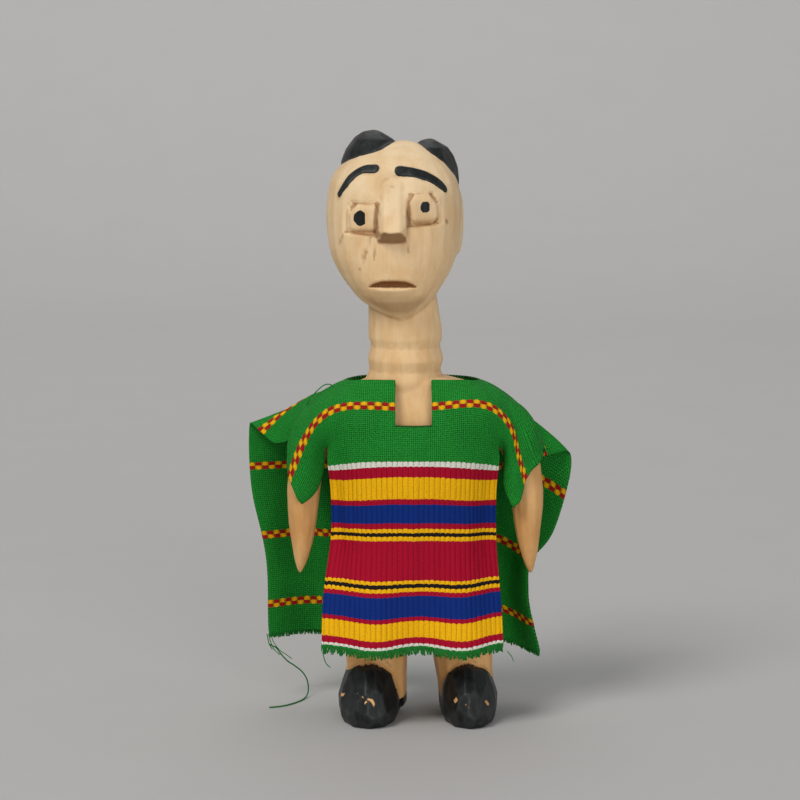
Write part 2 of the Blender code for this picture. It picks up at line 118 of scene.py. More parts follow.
# Shader maths
class Value:
    """A socket of a finish, used in sums as if it were a number."""

    def __init__(self, finish, socket):
        self.finish = finish
        self.socket = socket

    def sum_node(self, operation, *terms):
        numbered = {k: term for k, term in enumerate(terms)}
        return self.finish.node("ShaderNodeMath", {"operation": operation}, numbered)

    def __add__(self, other):
        return self.sum_node("ADD", self, other)

    def __radd__(self, other):
        return self.sum_node("ADD", other, self)

    def __sub__(self, other):
        return self.sum_node("SUBTRACT", self, other)

    def __rsub__(self, other):
        return self.sum_node("SUBTRACT", other, self)

    def __mul__(self, other):
        return self.sum_node("MULTIPLY", self, other)

    def __rmul__(self, other):
        return self.sum_node("MULTIPLY", other, self)

    def __truediv__(self, other):
        return self.sum_node("DIVIDE", self, other)

    def __gt__(self, other):
        return self.sum_node("GREATER_THAN", self, other)

    def __lt__(self, other):
        return self.sum_node("LESS_THAN", self, other)

    def __abs__(self):
        return self.sum_node("ABSOLUTE", self)

    def larger(self, other):
        return self.sum_node("MAXIMUM", self, other)

    def smaller(self, other):
        return self.sum_node("MINIMUM", self, other)

    def sine(self):
        return self.sum_node("SINE", self)

    def fraction(self):
        return self.sum_node("FRACT", self)

    def whole(self):
        return self.sum_node("FLOOR", self)

    def ramp(self, low, high):
        """0 below low, 1 above high, and smooth between them."""
        settings = {"interpolation_type": "SMOOTHSTEP"}
        inputs = {"Value": self, "From Min": low, "From Max": high}
        return self.finish.node("ShaderNodeMapRange", settings, inputs)


class Finish:
    """One material and its nodes."""

    def __init__(self, name, **constants):
        self.material = bpy.data.materials.new(name)
        self.material.use_nodes = True
        self.tree = self.material.node_tree
        self.shader = self.tree.nodes["Principled BSDF"]
        for socket, value in constants.items():
            self.feed(socket.replace("_", " "), value)

    def link(self, socket, value):
        if isinstance(value, Value):
            self.tree.links.new(value.socket, socket)
        else:
            socket.default_value = value

    def feed(self, socket, value):
        self.link(self.shader.inputs[socket], value)

    def node(self, kind, settings=None, inputs=None, output=0):
        made = self.tree.nodes.new(kind)
        for name, value in (settings or {}).items():
            setattr(made, name, value)
        for name, value in (inputs or {}).items():
            self.link(made.inputs[name], value)
        return Value(self, made.outputs[output])

    def mix(self, amount, base, over, blend="MIX"):
        """One colour laid over another by an amount from 0 to 1."""
        settings = {"data_type": "RGBA", "blend_type": blend}
        return self.node("ShaderNodeMix", settings, {0: amount, 6: base, 7: over}, output=2)

    def attribute(self, name):
        return self.node("ShaderNodeAttribute", {"attribute_name": name}, output="Fac")

    def object_place(self, turn=(0.0, 0.0, 0.0), stretch=(1.0, 1.0, 1.0)):
        """Object coordinates in millimetres, turned and stretched for a pattern."""
        raw = self.node("ShaderNodeTexCoord", output="Object")
        scale = tuple(k / MM for k in stretch)
        return self.node("ShaderNodeMapping", {}, {"Vector": raw, "Rotation": turn, "Scale": scale})

    def stretched(self, where, scale):
        return self.node("ShaderNodeMapping", {}, {"Vector": where, "Scale": scale})

    def cloud(self, where, size, detail=3.0, roughness=0.55):
        """Soft noise with patches of that size, from 0 to 1."""
        inputs = {"Vector": where, "Scale": 1.0 / size, "Detail": detail, "Roughness": roughness}
        return self.node("ShaderNodeTexNoise", {}, inputs, output="Fac")

    def bump(self, height, distance, strength=1.0):
        """Relief from a height of 0 to 1, that many millimetres deep."""
        inputs = {"Height": height, "Distance": distance * MM, "Strength": strength}
        self.feed("Normal", self.node("ShaderNodeBump", {}, inputs, output="Normal"))


def plain_floor():
    """A pale sheet on the ground that curves up far behind the figure."""
    profile = [(-3.0, 0.0), (1.2, 0.0)]
    profile += [(1.2 + 0.8 * math.sin(a), 0.8 - 0.8 * math.cos(a)) for a in np.linspace(0.13, 1.57, 12)]
    profile += [(2.0, 3.5)]
    mesh = bmesh.new()
    edge = [[mesh.verts.new((x, y, z)) for y, z in profile] for x in (-4.0, 4.0)]
    for k in range(len(profile) - 1):
        mesh.faces.new((edge[0][k], edge[1][k], edge[1][k + 1], edge[0][k + 1]))
    data = bpy.data.meshes.new("floor")
    mesh.to_mesh(data)
    floor = bpy.data.objects.new("floor", data)
    bpy.context.collection.objects.link(floor)
    for face in data.polygons:
        face.use_smooth = True
    finish = Finish("floor_paper", Roughness=0.9)
    grain = finish.cloud(finish.object_place(), 40.0)
    finish.feed("Base Color", finish.mix(grain, (0.46, 0.452, 0.437, 1.0), (0.48, 0.472, 0.457, 1.0)))
    data.materials.append(finish.material)


# Loose thread
THREAD_DIAMETER = 0.5
THREAD_ROUTE = [
    (-52.6, 21.0, 20.4), (-51.2, 21.2, 19.6), (-50.0, 21.4, 18.9), (-47.9, 21.8, 16.0),
    (-46.0, 22.4, 13.8), (-43.8, 23.2, 12.1), (-41.0, 24.2, 9.6), (-39.3, 25.0, 6.8),
    (-38.6, 25.3, 3.6), (-38.9, 24.0, 1.1), (-39.9, 20.4, 0.45), (-41.6, 16.5, 0.35),
    (-44.8, 11.8, 0.35), (-48.4, 8.8, 0.35), (-52.0, 7.4, 0.35),
]


def through(points, steps):
    """A smooth line through points, with so many steps from each to the next."""
    spots = [Vector(p) for p in points]
    spots = [2 * spots[0] - spots[1]] + spots + [2 * spots[-1] - spots[-2]]
    line = []
    for a, b, c, d in zip(spots, spots[1:], spots[2:], spots[3:]):
        for k in range(steps):
            u = k / steps
            line.append(0.5 * (2 * b + (c - a) * u + (2 * a - 5 * b + 4 * c - d) * u * u
                               + (3 * b - a - 3 * c + d) * u ** 3))
    return line + [spots[-2]]


def thread_finish():
    finish = Finish("green_yarn", Roughness=0.85)
    finish.feed("Specular IOR Level", 0.1)
    tint = finish.cloud(finish.object_place(), 1.5)
    finish.feed("Base Color", finish.mix(tint, (0.004, 0.085, 0.010, 1.0), (0.025, 0.24, 0.040, 1.0)))
    finish.bump(finish.cloud(finish.object_place(), 0.25), 0.05)
    return finish.material


def yarn(name, line, diameter, material):
    """A curve of one open spline with the thickness of a thread."""
    data = bpy.data.curves.new(name, "CURVE")
    data.dimensions = "3D"
    data.bevel_depth = diameter * MM / 2
    data.bevel_resolution = 3
    data.use_fill_caps = True
    spline = data.splines.new("POLY")
    spline.points.add(len(line) - 1)
    for spot, point in zip(spline.points, line):
        spot.co = (*place(point), 1.0)
    data.materials.append(material)
    obj = bpy.data.objects.new(name, data)
    bpy.context.collection.objects.link(obj)
    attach(obj, "root")
    return obj


def loose_thread(material):
    line = through(THREAD_ROUTE, 4)
    length = sum((b - a).length for a, b in zip(line, line[1:])) * MM
    thread = yarn("hanging_thread", line, THREAD_DIAMETER, material)
    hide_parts("loose_thread")
    return thread


# Carved figure
WOOD_CELL = 0.5
MOST_TRIANGLES = 170000
FACE_FRONT = -13.0
# Brush strokes of black paint on the face, as beads: across, depth, height, half width
BROWS = [
    [(-25.6, -13.6, 185.6, 1.35), (-23.6, -14.5, 188.9, 1.55), (-20.9, -14.2, 192.1, 1.65),
     (-17.7, -14.6, 194.1, 1.85), (-14.2, -15.6, 194.3, 2.0)],
    [(-5.1, -16.6, 193.6, 2.05), (-1.2, -16.6, 193.1, 2.0), (2.9, -16.1, 191.9, 1.95),
     (7.0, -15.2, 189.8, 1.8), (9.9, -14.3, 187.3, 1.4)],
]
BROW_RELIEF = 0.5
# Pupils: across, height, half width, half height
PUPILS = [(-18.8, 177.7, 2.4, 2.6), (3.3, 181.5, 1.85, 1.95)]
# Nose: a round-topped block, its middle and bottom, and the planes that shape it (a point, a way out)
NOSE_MIDDLE = (-7.4, -20.0, 186.4)
NOSE_RADIUS = 4.4
NOSE_BOTTOM = 169.0
NOSE_LENGTH = 24.0
NOSE_PLANES = [
    ((-8.0, -18.2, 190.9), (0.0, -0.855, 0.519)),
    ((-9.0, -29.0, 173.2), (-0.31, -0.5, -0.8)),
    ((-9.0, -29.0, 173.2), (0.1, -0.55, -0.82)),
    ((-3.6, -26.0, 178.0), (0.88, -0.47, 0.0)),
    ((-10.6, -26.0, 178.0), (-0.8, -0.6, 0.36)),
    ((-5.4, -26.0, 178.0), (0.62, -0.7, 0.42)),
]
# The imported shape's plain wedge, which sinks behind the block: half width, bottom and top, and how deep
OLD_NOSE = (5.8, 168.5, 193.5)
OLD_NOSE_SUNK = 1.0
# Eyes: the blocks' middles, and knife cuts in from their furthest points
EYE_BLOCKS = [((-18.6, 177.7), (6.6, 5.6)), ((3.6, 180.9), (6.6, 5.6))]
EYE_CUTS = [
    ((0.80, -0.3, 0.60), 1.7), ((-0.75, -0.3, 0.66), 2.0),
    ((0.78, -0.3, -0.62), 1.8), ((-0.80, -0.3, -0.60), 1.4),
    ((1.0, -0.5, 0.1), 0.5), ((-1.0, -0.5, -0.1), 0.5), ((0.1, -0.6, 1.0), 0.5), ((-0.1, -0.6, -1.0), 0.5),
]
# Mouth: middle, height of its straight lower lip, half width, height of the arch and how deep it goes
MOUTH = (-7.8, 154.1, 8.3, 2.6, 2.6)
# Marks of the knife and cracks, as beads seen from the front: across, height, half width
KNIFE_MARKS = [
    [(-15.2, 169.6, 0.12), (-16.6, 166.6, 0.2), (-17.4, 163.0, 0.1)],
    [(-13.6, 169.0, 0.1), (-13.9, 166.0, 0.22), (-14.2, 163.6, 0.1)],
    [(-15.8, 170.6, 0.1), (-15.0, 171.4, 0.2)],
    [(-24.6, 171.8, 0.1), (-26.0, 168.8, 0.16)],
    [(-19.0, 160.4, 0.2), (-18.8, 160.1, 0.2)],
    [(-4.4, 167.6, 0.2), (-4.2, 167.1, 0.2)],
    [(-2.6, 167.2, 0.15), (-2.5, 166.2, 0.15)],
    [(6.4, 191.3, 0.3), (6.7, 190.9, 0.3)],
    [(-8.2, 188.6, 0.25), (-8.0, 188.3, 0.25)],
    [(10.6, 176.6, 0.4), (10.8, 175.9, 0.3)],
    # These four lines, along the edges of the eye blocks, are painted shade in their crevices
    [(-13.2, 183.0, 0.35), (-13.5, 176.0, 0.85), (-13.3, 171.8, 0.6)],
    [(-2.5, 184.5, 0.4), (-2.3, 179.0, 0.8), (-2.4, 175.0, 0.5)],
    [(-2.4, 175.2, 0.4), (1.0, 175.2, 0.35), (7.5, 175.6, 0.3)],
    [(-24.0, 172.8, 0.25), (-18.0, 172.3, 0.35), (-13.6, 171.9, 0.4)],
    [(-11.2, 24.2, 0.15), (-10.2, 21.2, 0.3), (-8.4, 19.4, 0.15)],
]
# Hair lobes: middle, half sizes, turn about the vertical in degrees
HAIR_LOBES = [
    ((-14.6, 7.0, 190.6), (11.6, 16.5, 16.0), 12.0),
    ((5.2, 8.0, 188.6), (10.2, 16.0, 14.8), -10.0),
]
HAIR_EDGES = (1.06, 1.05)
# The right lobe's paint stops at a line across the brow: a place on it and the way towards the paint
HAIR_LINE = ((2.4, 201.0), (0.66, 0.75))
NAPE_HEIGHT = 160.0
HAIR_BACK = 9.0
HAIR_WIDEST = 180.0
# Level ovals of the legs' ankles and of the shoes: height, middle, half width, front, back
OVAL_MIDDLE_DEPTH = 1.0
OVAL_SQUARENESS = 2.35
ANKLES = {
    -1: [(4.0, -13.0, 10.2, -10.2, 10.8), (12.0, -13.2, 10.4, -10.6, 11.0),
         (22.0, -13.6, 10.9, -11.4, 11.4)],
    1: [(4.0, 18.2, 9.6, -10.2, 10.8), (12.0, 17.8, 9.8, -10.6, 11.0),
        (22.0, 16.9, 10.6, -11.4, 11.4)],
}
SHOES = {
    -1: [(0.0, -16.1, 9.9, -22.4, 12.4), (2.4, -16.1, 11.0, -24.4, 13.4), (7.4, -16.1, 11.3, -24.8, 13.6),
         (12.4, -15.9, 10.6, -22.8, 12.6), (16.8, -15.7, 8.7, -19.4, 4.0), (20.0, -15.5, 5.6, -15.6, -3.0),
         (21.8, -15.3, 1.6, -12.0, -8.0)],
    1: [(0.0, 19.1, 9.2, -22.4, 12.4), (2.4, 19.1, 10.2, -24.4, 13.4), (7.4, 19.1, 10.5, -24.8, 13.6),
        (12.4, 18.9, 9.8, -22.8, 12.6), (16.8, 18.7, 8.0, -19.4, 4.0), (20.0, 18.5, 5.2, -15.6, -3.0),
        (21.8, 18.3, 1.5, -12.0, -8.0)],
}
# The painted edge low on the legs behind, by depth
SHOE_EDGE_DEPTHS = (-26.0, -6.0, -2.0, 4.0, 10.0)
SHOE_EDGE_HEIGHTS = (7.0, 7.0, 7.5, 9.5, 11.5)
# Knife cuts on each shoe: direction as across, back and up, and how deep the knife went
SHOE_CUTS = [
    ((-0.25, -0.93, 0.28), 0.9), ((0.35, -0.9, 0.25), 1.1), ((0.0, -0.98, -0.2), 0.7),
    ((-0.55, -0.6, 0.58), 1.3), ((0.05, -0.72, 0.69), 1.2), ((0.6, -0.55, 0.58), 1.3),
    ((-0.85, -0.45, 0.28), 1.0), ((0.87, -0.42, 0.25), 0.9), ((-0.95, 0.1, 0.3), 0.7),
    ((0.95, 0.05, 0.3), 0.7), ((-0.3, -0.25, 0.92), 0.9), ((0.4, -0.2, 0.9), 0.8),
    ((-0.8, -0.55, -0.25), 0.7), ((0.75, -0.6, -0.28), 0.7), ((0.5, 0.85, 0.15), 0.6),
    ((-0.5, 0.85, 0.15), 0.6),
]
HAIR_CUTS = [
    ((-0.5, -0.72, 0.48), 0.35), ((0.1, -0.8, 0.6), 0.4), ((0.45, -0.6, 0.66), 0.5),
    ((-0.2, -0.3, 0.93), 0.3), ((0.5, 0.0, 0.86), 0.5), ((-0.8, -0.1, 0.6), 0.4),
    ((0.85, -0.3, 0.45), 0.7), ((-0.4, 0.6, 0.7), 0.5), ((0.4, 0.6, 0.7), 0.5), ((0.0, 0.95, 0.3), 0.6),
]
# Where paint has worn off the shoes' ridges: beads as in the knife marks
WORN_PAINT = [
    [(-26.6, 9.2, 0.3), (-25.4, 9.9, 0.5), (-24.6, 10.4, 0.25)],
    [(-20.4, 12.2, 0.12), (-17.2, 11.0, 0.22), (-15.0, 10.2, 0.45), (-14.2, 8.4, 0.4)],
    [(-17.6, 9.0, 0.3), (-16.9, 10.0, 0.3)],
    [(14.0, 9.3, 0.5), (14.3, 10.2, 0.6)],
    [(16.6, 9.3, 0.12), (19.9, 7.4, 0.22)],
    [(24.4, 9.6, 0.3), (25.6, 7.6, 0.35)],
]


def choose(*objects):
    """Select these objects and nothing else."""
    bpy.ops.object.select_all(action="DESELECT")
    for obj in objects:
        obj.select_set(True)
    bpy.context.view_layer.objects.active = objects[0]


def finish_with(obj, kind, **settings):
    """Add a modifier and apply it."""
    added = obj.modifiers.new(kind.title(), kind)
    for name, value in settings.items():
        setattr(added, name, value)
    choose(obj)
    bpy.ops.object.modifier_apply(modifier=added.name)


def merged_copy(node, name):
    """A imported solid's shape as a new piece, its corners merged."""
    obj = bpy.data.objects.new(name, bpy.data.objects[node].data.copy())
    bpy.context.collection.objects.link(obj)
    obj.data.materials.clear()
    choose(obj)
    bpy.ops.object.mode_set(mode="EDIT")
    bpy.ops.mesh.select_all(action="SELECT")
    bpy.ops.mesh.remove_doubles(threshold=1e-5)
    bpy.ops.object.mode_set(mode="OBJECT")
    return obj


def corners(data):
    """A mesh's corners in millimetres from the middle of the feet."""
    flat = np.empty(len(data.vertices) * 3)
    data.vertices.foreach_get("co", flat)
    return (flat.reshape(-1, 3) - np.array(FEET_MIDDLE)) / MM


def move_corners(data, points):
    data.vertices.foreach_set("co", (points * MM + np.array(FEET_MIDDLE)).ravel())
    data.update()


def outward(data):
    flat = np.empty(len(data.vertices) * 3)
    data.vertex_normals.foreach_get("vector", flat)
    return flat.reshape(-1, 3)


def keep(data, name, values):
    """Store one number for each corner, for a finish to read."""
    data.attributes.new(name, "FLOAT", "POINT").data.foreach_set("value", values)


def evened(data, values, rounds):
    """Values at the corners, averaged so many times with those of their neighbours."""
    ends = np.empty(len(data.edges) * 2, dtype=int)
    data.edges.foreach_get("vertices", ends)
    a, b = ends.reshape(-1, 2).T
    count = len(data.vertices)
    neighbours = np.bincount(a, minlength=count) + np.bincount(b, minlength=count)
    for _ in range(rounds):
        for column in values.T:
            total = np.bincount(a, column[b], count) + np.bincount(b, column[a], count)
            column[:] = (column + total / neighbours) / 2
    return values


def stroke(points, beads):
    """How far inside a brush stroke each point lies, in millimetres."""
    line = through([bead[:3] for bead in beads], 3)
    steps = np.linspace(0, len(beads) - 1, len(line))
    widths = np.interp(steps, range(len(beads)), [bead[3] for bead in beads])
    inside = np.full(len(points), -99.0)
    for start, end, w0, w1 in zip(line, line[1:], widths, widths[1:]):
        step = np.array(end - start)
        share = np.clip((points - np.array(start)) @ step / (step @ step), 0, 1)
        gap = np.linalg.norm(points - (np.array(start) + share[:, None] * step), axis=1)
        inside = np.maximum(inside, w0 + (w1 - w0) * share - gap)
    return inside


def lobe(points, middle, half_sizes, turn):
    """How far each point lies from a hair lobe's middle, where 1 is its surface."""
    angle = math.radians(turn)
    x, y, z = (points - np.array(middle)).T
    across = x * math.cos(angle) + y * math.sin(angle)
    back = y * math.cos(angle) - x * math.sin(angle)
    return np.sqrt((across / half_sizes[0]) ** 2 + (back / half_sizes[1]) ** 2 + (z / half_sizes[2]) ** 2)


def level_reach(points, sections):
    """How far each point lies from the middle of the level oval at its height, where 1 is the oval."""
    x, y, z = points.T
    heights, middles, half_widths, fronts, backs = np.array(sections).T
    depth = y - OVAL_MIDDLE_DEPTH
    room = np.where(depth > 0, np.interp(z, heights, backs) - OVAL_MIDDLE_DEPTH,
                    OVAL_MIDDLE_DEPTH - np.interp(z, heights, fronts))
    room = np.maximum(room, 0.01)
    across = np.abs(x - np.interp(z, heights, middles)) / np.interp(z, heights, half_widths)
    return (across ** OVAL_SQUARENESS + (np.abs(depth) / room) ** OVAL_SQUARENESS) ** (1 / OVAL_SQUARENESS)


def on_shoe(points, side):
    """How far inside a shoe's own surface each point lies, clear of the leg that stands in it."""
    clear_of_leg = (level_reach(points, ANKLES[side]) - 1.03) * 10.0
    near_shoe = (1.07 - level_reach(points, SHOES[side])) * 10.0
    inside = np.minimum(clear_of_leg, near_shoe)
    return np.where((points[:, 0] * side > 0) & (points[:, 2] < SHOES[side][-1][0]), inside, -99.0)


def knife_cuts(points, chosen, cuts):
    """Shave flat facets off the chosen points, each by a plane set in from the furthest point."""
    part = points[chosen]
    for direction, depth in cuts:
        way = np.array(Vector(direction).normalized())
        height = part @ way
        spare = np.maximum(height - (height.max() - depth), 0)
        part = part - spare[:, None] * way
    points[chosen] = part


def nose_block():
    """A block with a round top, cut to its planes."""
    x, y, z = NOSE_MIDDLE
    bpy.ops.mesh.primitive_cylinder_add(vertices=32, radius=NOSE_RADIUS * MM, depth=NOSE_LENGTH * MM,
                                        location=place(NOSE_MIDDLE), rotation=(math.radians(90), 0, 0))
    nose = bpy.context.object
    bpy.ops.mesh.primitive_cube_add(size=1.0, location=place((x, y, (z + NOSE_BOTTOM) / 2)))
    stem = bpy.context.object
    stem.scale = (2 * NOSE_RADIUS * MM, NOSE_LENGTH * MM, (z - NOSE_BOTTOM) * MM)
    choose(nose, stem)
    bpy.ops.object.transform_apply(location=True, rotation=True, scale=True)
    for obj in (nose, stem):
        choose(obj)
        bpy.ops.object.mode_set(mode="EDIT")
        for point, way in NOSE_PLANES:
            bpy.ops.mesh.select_all(action="SELECT")
            bpy.ops.mesh.bisect(plane_co=place(point), plane_no=way, use_fill=True, clear_outer=True)
        bpy.ops.object.mode_set(mode="OBJECT")
    choose(nose, stem)
    bpy.ops.object.join()
    return nose


def set_nose(man):
    """Put the cut block in place of the plain wedge."""
    points = corners(man.data)
    half_width, bottom, top = OLD_NOSE
    x, y, z = points.T
    (_, ridge_depth, ridge_height), (_, back, up) = NOSE_PLANES[0]
    depth = ridge_depth - (ridge_height - z) * up / -back + OLD_NOSE_SUNK
    old = (np.abs(x - NOSE_MIDDLE[0]) < half_width) & (z > bottom) & (z < top) & (y < depth) & (y < -17.0)
    points[old, 1] = np.minimum(depth[old], -17.0)
    points[old, 0] = NOSE_MIDDLE[0] + np.clip(x[old] - NOSE_MIDDLE[0], 0.6 - NOSE_RADIUS, NOSE_RADIUS - 0.6)
    move_corners(man.data, points)
    choose(man, nose_block())
    bpy.ops.object.join()


def cut_mouth(points):
    """A straight lower lip, a low arch above it, and the wood cut away between them."""
    across, lip, half_width, arch, depth = MOUTH
    x, y, z = points.T
    u = np.clip(np.abs(x - across) / half_width, 0, 1)
    roof = arch * (1 - u ** 3) ** 0.8 + 0.01
    share = (z - lip) / roof
    cut = np.clip(2.2 * (1 - share), 0, 1)
    notch = np.where((share > 0) & (share < 1), depth * cut, 0) * (1 - u ** 2) ** 0.4
    below = 0.8 * np.exp(-((z - 150.2) / 1.3) ** 2) * np.clip(1 - ((x - across) / 9.0) ** 2, 0, 1)
    lip_swell = 0.7 * np.exp(-((z - 153.0) / 1.0) ** 2) * np.clip(1 - ((x - across) / 8.0) ** 2, 0, 1)
    chin = 1.7 * np.clip((151.0 - z) / 8.0, 0, 1) ** 1.2 * np.clip(1 - ((x - across) / 14.0) ** 2, 0, 1)
    front = np.clip((FACE_FRONT - 0.6 - y) / 2.5, 0, 1) * (z > 141.0)
    points[:, 1] += front * (notch + below - lip_swell + chin)


def on_face(points, lines):
    """How far inside marks on the front each point lies, seen straight on."""
    x, y, z = points.T
    level = np.stack((x, np.zeros(len(x)), z), axis=1)
    inside = np.full(len(points), -99.0)
    for line in lines:
        inside = np.maximum(inside, stroke(level, [(bead[0], 0.0, bead[1], bead[2]) for bead in line]))
    return np.where(y < -8.0, inside, -99.0)


def stain_and_painted_shade(points, out):
    """How dark each point is painted: stain along knife marks and cracks, stain and painted shade in the
    mouth, and painted shade under the nose, under the chin and in the crevices round the eyes.
    """
    x, y, z = points.T
    across, lip, half_width, arch, _ = MOUTH
    u = np.clip(np.abs(x - across) / half_width, 0, 1)
    roof = arch * (1 - u ** 3) ** 0.8
    # Inside the mouth: stain and painted shade
    in_mouth = np.clip((z - lip + 0.1) / 0.3, 0, 1) * np.clip((lip + roof - z) / 0.7, 0, 1)
    stain_and_shade = 1.0 * in_mouth * (y < FACE_FRONT)
    # Painted shade on the nose's underside, where it faces down
    shade_under_nose = (np.abs(x - NOSE_MIDDLE[0]) < 5.5) & (z < 175.5) & (z > 167) & (y < -22.0)
    stain_and_shade = np.maximum(stain_and_shade, np.where(shade_under_nose, 0.8 * np.clip(-out[:, 2] / 0.5 - 0.2, 0, 1), 0))
    # Painted shade under the chin, where the face turns down
    chin = 0.5 * np.clip((151.5 - z) / 3.0, 0, 1) * np.clip((-13.0 - y) / 2.0, 0, 1) * (z > 141.0)
    stain_and_shade = np.maximum(stain_and_shade, chin)
    return np.maximum(stain_and_shade, 0.75 * np.clip(on_face(points, KNIFE_MARKS) / 0.5 + 0.6, 0, 1))


def black_paint(points):
    """How far inside the black paint each point lies: hair, brows, pupils and shoes."""
    x, y, z = points.T
    behind = y - HAIR_BACK - 0.02 * (z - HAIR_WIDEST) ** 2
    inside = np.minimum(behind, z - NAPE_HEIGHT - 0.012 * (x + 7.0) ** 2)
    for (middle, half_sizes, turn), edge in zip(HAIR_LOBES, HAIR_EDGES):
        painted = (edge - lobe(points, middle, half_sizes, turn)) * half_sizes[0]
        if middle[0] > 0:
            (across, height), (right, up) = HAIR_LINE
            beyond = (x - across) * right + (z - height) * up + 1.1 * np.maximum(y - 1.0, 0)
            painted = np.minimum(painted, beyond)
        inside = np.maximum(inside, painted)
    for beads in BROWS:
        inside = np.maximum(inside, stroke(points, beads))
    for across, height, half_width, half_height in PUPILS:
        reach = np.hypot((x - across) / half_width, (z - height) / half_height)
        reach = reach * (1 + 0.05 * np.cos(6 * np.arctan2(z - height, x - across) + across))
        inside = np.maximum(inside, np.where(y < FACE_FRONT, (1 - reach) * half_width, -99))
    shoes = np.interp(y, SHOE_EDGE_DEPTHS, SHOE_EDGE_HEIGHTS) - z
    for side in (-1, 1):
        shoes = np.maximum(shoes, on_shoe(points, side))
    shoes = np.minimum(shoes, -on_face(points, WORN_PAINT))
    return np.maximum(inside, shoes)


def carve(data):
    """Knife facets, the mouth, a smoother cheek on the right, raised brows and hand-cut unevenness."""
    points = corners(data)
    for side in (-1, 1):
        knife_cuts(points, on_shoe(points, side) > 0.0, SHOE_CUTS)
    for middle, half_sizes, turn in HAIR_LOBES:
        on_lobe = lobe(points, middle, half_sizes, turn) < 1.05
        knife_cuts(points, on_lobe & (points[:, 2] > 170), HAIR_CUTS)
    x, y, z = points.T
    for (across, height), (half_width, half_height) in EYE_BLOCKS:
        near = (np.abs(x - across) < half_width) & (np.abs(z - height) < half_height) & (y < -17.6)
        knife_cuts(points, near, EYE_CUTS)
    cut_mouth(points)
    move_corners(data, points)
    soft = evened(data, points.copy(), 30)
    share = np.clip((173.0 - z) / 4.0, 0, 1) * (x > 10.0) * (z > 158.0)
    points += (soft - points) * share[:, None]
    out = outward(data)
    lift = np.zeros(len(points))
    for beads in BROWS:
        lift += BROW_RELIEF * np.clip(stroke(points, beads) / 0.5 + 0.3, 0, 1)
    waves = np.array([noise.noise(Vector((p[0] / 5.0, p[1] / 5.0, p[2] / 9.0))) for p in points])
    marks = np.array([noise.noise(Vector((p[0] / 1.6, p[1] / 1.6, p[2] / 7.0 + 9.0))) for p in points])
    lift += 0.16 * waves + 0.035 * marks
    points += out * lift[:, None]
    points[:, 2] = np.maximum(points[:, 2], 0.0)
    move_corners(data, points)


def wood_finish():
    finish = Finish("painted_wood")
    grain_place = finish.object_place(stretch=(1.0, 1.0, 0.07))
    streaks = finish.cloud(grain_place, 0.8, detail=4.0)
    patches = finish.cloud(finish.object_place(stretch=(1.0, 1.0, 0.5)), 9.0)
    specks = finish.cloud(finish.object_place(), 0.9, detail=2.0).ramp(0.70, 0.78)
    height = finish.node("ShaderNodeSeparateXYZ", {}, {0: finish.object_place()}, output="Z")
    # Painted shade: the wood changes tone from the brow down, and turns darker and more orange from the chest
    # down, where less light reaches
    shaded_below_brow = 1 - height.ramp(155.0, 190.0)
    shaded_below_chin = 1 - height.ramp(70.0, 150.0)
    pale = finish.mix(shaded_below_brow, (0.80, 0.60, 0.36, 1.0), (0.84, 0.595, 0.325, 1.0))
    pale = finish.mix(shaded_below_chin, pale, (0.76, 0.43, 0.165, 1.0))
    dark = finish.mix(shaded_below_brow, (0.72, 0.49, 0.26, 1.0), (0.75, 0.475, 0.225, 1.0))
    dark = finish.mix(shaded_below_chin, dark, (0.62, 0.31, 0.10, 1.0))
    wood = finish.mix((0.2 * streaks + 0.9 * patches).ramp(0.40, 0.72), pale, dark)
    wood = finish.mix(specks * 0.4, wood, (0.30, 0.17, 0.08, 1.0))
    # Painted shade: the wood turns dark brown in hollows and creases
    hollow = finish.attribute("hollow")
    hollow_shade = hollow.ramp(0.03, 0.36)
    wood = finish.mix(hollow_shade * 0.7, wood, (0.34, 0.15, 0.045, 1.0))
    scratch_place = finish.object_place(turn=(0.0, 0.35, 0.0), stretch=(1.0, 1.0, 0.16))
    scratches = finish.cloud(scratch_place, 0.42, detail=2.0).ramp(0.66, 0.74)
    wood = finish.mix(scratches * 0.3, wood, (0.42, 0.24, 0.11, 1.0))
    # Stain along knife marks and in the mouth, and painted shade in the mouth, under the nose, under the chin
    # and round the eyes
    wood = finish.mix(finish.attribute("stain_and_shade"), wood, (0.22, 0.085, 0.022, 1.0))
    brushed = finish.attribute("black_paint") + (finish.cloud(finish.object_place(), 0.7) - 0.5) * 0.25
    paint = brushed.ramp(-0.07, 0.07)
    shade = finish.cloud(finish.object_place(stretch=(1.0, 1.0, 0.3)), 1.6, detail=5.0)
    black = finish.mix(shade.ramp(0.3, 0.75), (0.003, 0.0035, 0.0035, 1.0), (0.014, 0.0175, 0.017, 1.0))
    worn = (0.0 - hollow).ramp(0.05, 0.22)
    black = finish.mix(worn * 0.25, black, (0.05, 0.055, 0.052, 1.0))
    finish.feed("Base Color", finish.mix(paint, wood, black))
    finish.feed("Roughness", 0.56 - 0.12 * paint + 0.1 * (streaks - 0.5))
    finish.feed("Specular IOR Level", 0.3)
    finish.bump(0.6 * streaks + 0.25 * paint + 0.2 * shade, 0.12, 0.6)
    return finish.material


def carved_man():
    man = merged_copy("carved_figure", "carved_man")
    set_nose(man)
    finish_with(man, "REMESH", mode="VOXEL", voxel_size=WOOD_CELL * MM)
    finish_with(man, "SMOOTH", factor=0.5, iterations=3)
    carve(man.data)
    triangles = 2 * len(man.data.polygons)
    if triangles > MOST_TRIANGLES:
        finish_with(man, "DECIMATE", ratio=MOST_TRIANGLES / triangles)
    data = man.data
    points = corners(data)
    keep(data, "black_paint", black_paint(points))
    keep(data, "stain_and_shade", stain_and_painted_shade(points, outward(data)))
    shift = evened(data, points.copy(), 14) - points
    keep(data, "hollow", (shift * outward(data)).sum(axis=1))
    choose(man)
    bpy.ops.object.shade_smooth()
    data.materials.append(wood_finish())
    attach(man, "root")
    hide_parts("carved_figure")
    return man


